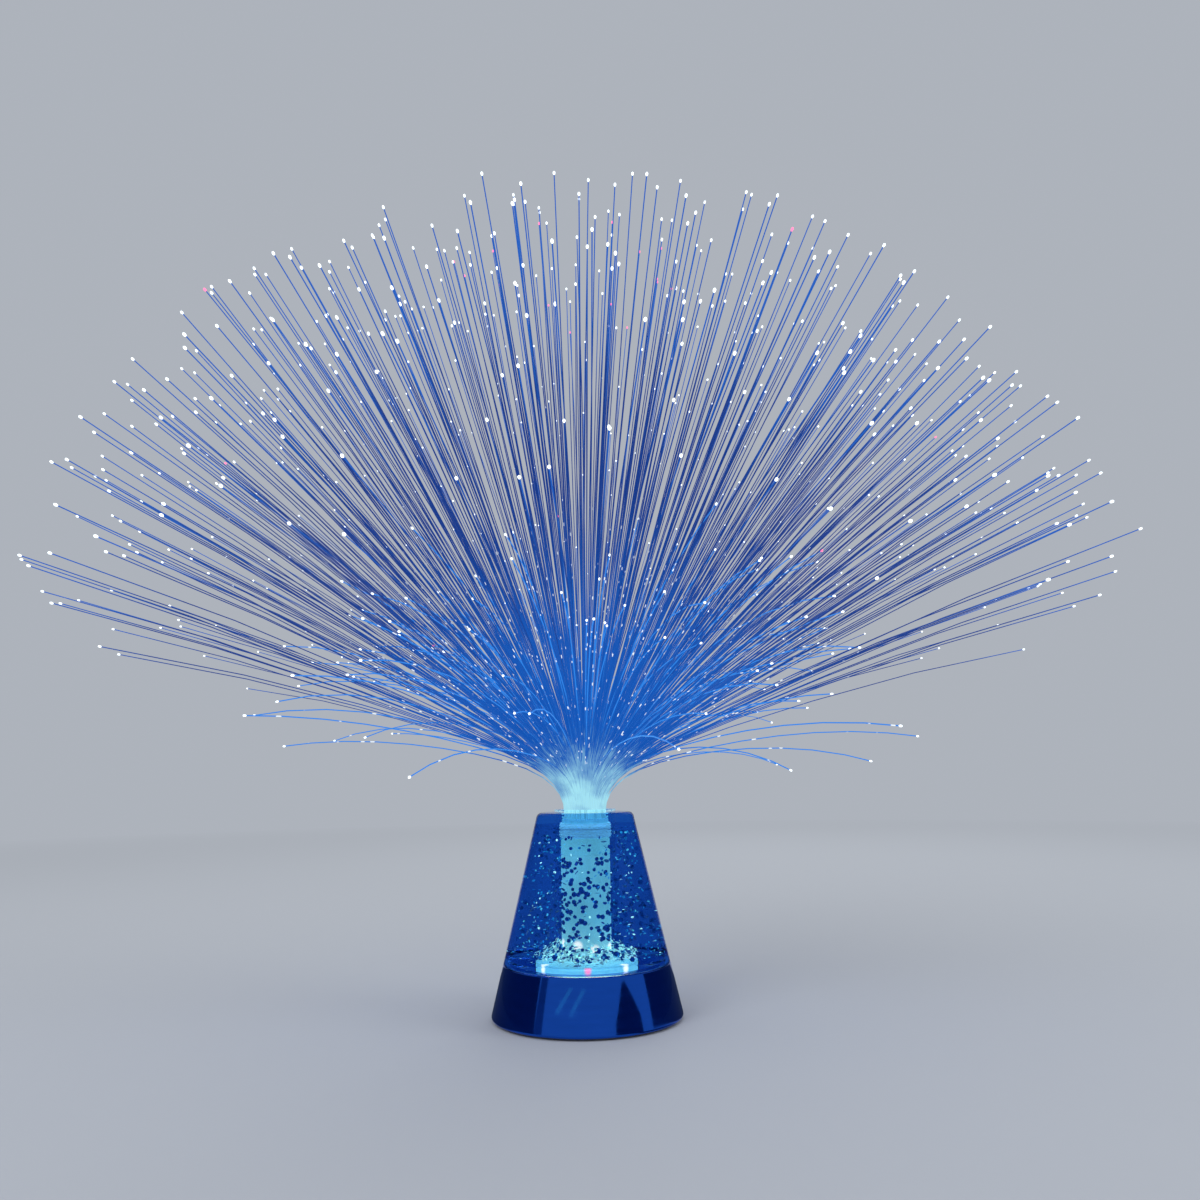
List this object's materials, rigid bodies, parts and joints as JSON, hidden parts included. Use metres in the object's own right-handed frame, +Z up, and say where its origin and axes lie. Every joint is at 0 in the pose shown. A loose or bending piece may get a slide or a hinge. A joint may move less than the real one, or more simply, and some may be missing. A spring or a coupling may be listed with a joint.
{
  "type": "fibre optic lamp",
  "caption": "Battery lamp: a chrome base and a clear cone of glitter liquid round a light column, with a wide dome of plastic fibres that lift out, turn and glow at their tips.",
  "frame": {"origin": "middle of the surface that the four rubber feet stand on", "axes": "+Z up along the axis of the cone; +X towards the screw of the battery door; -Y towards the power switch, which is the side that the picture's camera is on"},
  "size_m": [0.4652, 0.4652, 0.3558],
  "materials": {
    "chrome": "polished",
    "black_plastic": "satin",
    "door_plastic": "satin",
    "plated_steel": "satin",
    "switch_lever": "satin",
    "circuit_board": "satin",
    "chip_plastic": "satin",
    "led_blue": "gloss",
    "led_green": "gloss",
    "led_cyan": "gloss",
    "led_red": "gloss",
    "diffuser_plastic": "matte",
    "clear_acrylic": "gloss",
    "seal_rubber": "matte",
    "glitter_liquid": "gloss",
    "column_acrylic": "satin",
    "grip_plastic": "satin",
    "ferrule_plastic": "satin",
    "cell_jacket": "gloss",
    "wire_red": "satin",
    "wire_black": "satin",
    "foot_rubber": "matte",
    "fibre_acrylic": "gloss"
  },
  "bodies": {
    "base": {"base_shell": "chrome", "bottom_plate": "black_plastic", "switch_body": "black_plastic", "led_board": "circuit_board", "driver_chip": "chip_plastic", "resistor": "chip_plastic", "led_1": "led_blue", "led_2": "led_green", "led_3": "led_cyan", "led_4": "led_red", "diffuser_cup": "diffuser_plastic", "cone_floor": "clear_acrylic", "column_seal": "seal_rubber", "glitter_cone": "clear_acrylic", "glitter_liquid": "glitter_liquid", "light_column": "column_acrylic", "socket_sleeve": "clear_acrylic", "positive_contact": "plated_steel", "negative_contact": "plated_steel", "bridge_contact_1": "plated_steel", "bridge_contact_2": "plated_steel", "wire_positive": "wire_red", "wire_negative": "wire_black", "wire_switch_in": "wire_red", "wire_switch_out": "wire_black", "rubber_foot_1": "foot_rubber", "housing_screw_1": "plated_steel", "rubber_foot_2": "foot_rubber", "housing_screw_2": "plated_steel", "rubber_foot_3": "foot_rubber", "housing_screw_3": "plated_steel", "rubber_foot_4": "foot_rubber", "housing_screw_4": "plated_steel", "battery_1": "cell_jacket", "contact_spring_1": "plated_steel", "battery_2": "cell_jacket", "contact_spring_2": "plated_steel", "battery_3": "cell_jacket", "contact_spring_3": "plated_steel"},
    "door": {"battery_door": "door_plastic"},
    "door_screw": {"door_screw": "plated_steel"},
    "switch": {"power_switch": "switch_lever"},
    "grip": {"grip_ring": "grip_plastic"},
    "spray": {"ferrule": "ferrule_plastic", "fibre_sector_1": "fibre_acrylic", "fibre_sector_2": "fibre_acrylic", "fibre_sector_3": "fibre_acrylic", "fibre_sector_4": "fibre_acrylic", "fibre_sector_5": "fibre_acrylic", "fibre_sector_6": "fibre_acrylic", "fibre_sector_7": "fibre_acrylic", "fibre_sector_8": "fibre_acrylic"}
  },
  "joints": [
    {"name": "battery_door_hinge", "type": "hinge", "parent": "base", "child": "door", "pos_m": [-0.02805, 0, 0.0018], "axis": [0, 1, 0], "range_deg": [0, 80]},
    {"name": "door_screw_turn", "type": "hinge", "parent": "door", "child": "door_screw", "pos_m": [0.03125, 0, 0.0015], "axis": [0, 0, 1], "continuous": true},
    {"name": "power_switch_slide", "type": "slide", "parent": "base", "child": "switch", "axis": [1, 0, 0], "range_m": [0, 0.003]},
    {"name": "spray_lift", "type": "slide", "parent": "base", "child": "grip", "axis": [0, 0, 1], "range_m": [0, 0.013]},
    {"name": "spray_turn", "type": "hinge", "parent": "grip", "child": "spray", "pos_m": [0, 0, 0.08], "axis": [0, 0, 1], "continuous": true}
  ]
}
